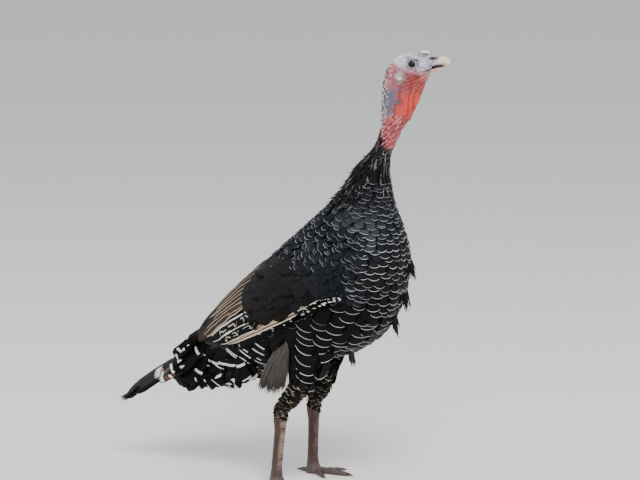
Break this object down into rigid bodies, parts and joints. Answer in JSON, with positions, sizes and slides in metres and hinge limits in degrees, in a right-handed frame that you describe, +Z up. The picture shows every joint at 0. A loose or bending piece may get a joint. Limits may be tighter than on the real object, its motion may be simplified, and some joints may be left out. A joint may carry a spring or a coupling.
{
  "type": "domestic turkey hen",
  "caption": "Life-size still model of a young black domestic turkey hen standing alert, neck raised, wings folded, with a bare blue and red head, pale-laced feathers and bare shanks.",
  "frame": {"origin": "on the floor, under the middle of the bird's box", "axes": "+Z up, the bird faces -Y and its left side is at +X"},
  "size_m": [0.1926, 0.5694, 0.6733],
  "materials": {
    "head_skin": "bare matt skin, finely wrinkled",
    "throat_skin": "bare carunculated skin, slightly moist",
    "horn": "smooth semi-matt horn",
    "snood_skin": "soft matt skin",
    "ear_skin": "soft matt skin",
    "eye_dark": "wet gloss",
    "black_feather": "satin feather with a cool sheen",
    "laced_feather": "satin feather with pale edges",
    "brown_feather": "satin dark brown feather",
    "buff_feather": "satin brown feather with buff edges",
    "barred_feather": "satin black feather with white bars",
    "down": "matt fluffy down",
    "leg_scale": "low-sheen scales",
    "claw_horn": "semi-matt dark horn"
  },
  "bodies": {
    "root": {"head": "head_skin", "neck_upper": "throat_skin", "neck_lower": "throat_skin", "neck_feathered": "black_feather", "breast": "black_feather", "trunk": "black_feather", "rump": "black_feather", "bill_upper": "horn", "bill_lower": "horn", "snood": "snood_skin", "eye_right": "eye_dark", "eye_left": "eye_dark", "ear_right": "ear_skin", "ear_left": "ear_skin", "dewlap": "throat_skin", "wing_primaries_right": "black_feather", "wing_secondaries_right": "buff_feather", "wing_coverts_right": "brown_feather", "wing_shoulder_right": "laced_feather", "wing_primaries_left": "black_feather", "wing_secondaries_left": "buff_feather", "wing_coverts_left": "brown_feather", "wing_shoulder_left": "laced_feather", "tail_coverts_upper": "barred_feather", "tail": "barred_feather", "tail_coverts_under": "barred_feather", "tail_long_feather": "brown_feather", "flank_down_right": "down", "flank_down_left": "down", "breast_tuft_upper": "brown_feather", "breast_tuft_middle": "brown_feather", "breast_tuft_lower": "brown_feather", "belly_tuft": "brown_feather", "thigh_right": "black_feather", "drumstick_right": "black_feather", "shank_right": "leg_scale", "toe_middle_right": "leg_scale", "claw_middle_right": "claw_horn", "toe_inner_right": "leg_scale", "claw_inner_right": "claw_horn", "toe_outer_right": "leg_scale", "claw_outer_right": "claw_horn", "toe_hind_right": "leg_scale", "claw_hind_right": "claw_horn", "thigh_left": "black_feather", "drumstick_left": "black_feather", "shank_left": "leg_scale", "toe_middle_left": "leg_scale", "claw_middle_left": "claw_horn", "toe_inner_left": "leg_scale", "claw_inner_left": "claw_horn", "toe_outer_left": "leg_scale", "claw_outer_left": "claw_horn", "toe_hind_left": "leg_scale", "claw_hind_left": "claw_horn"}
  },
  "joints": []
}
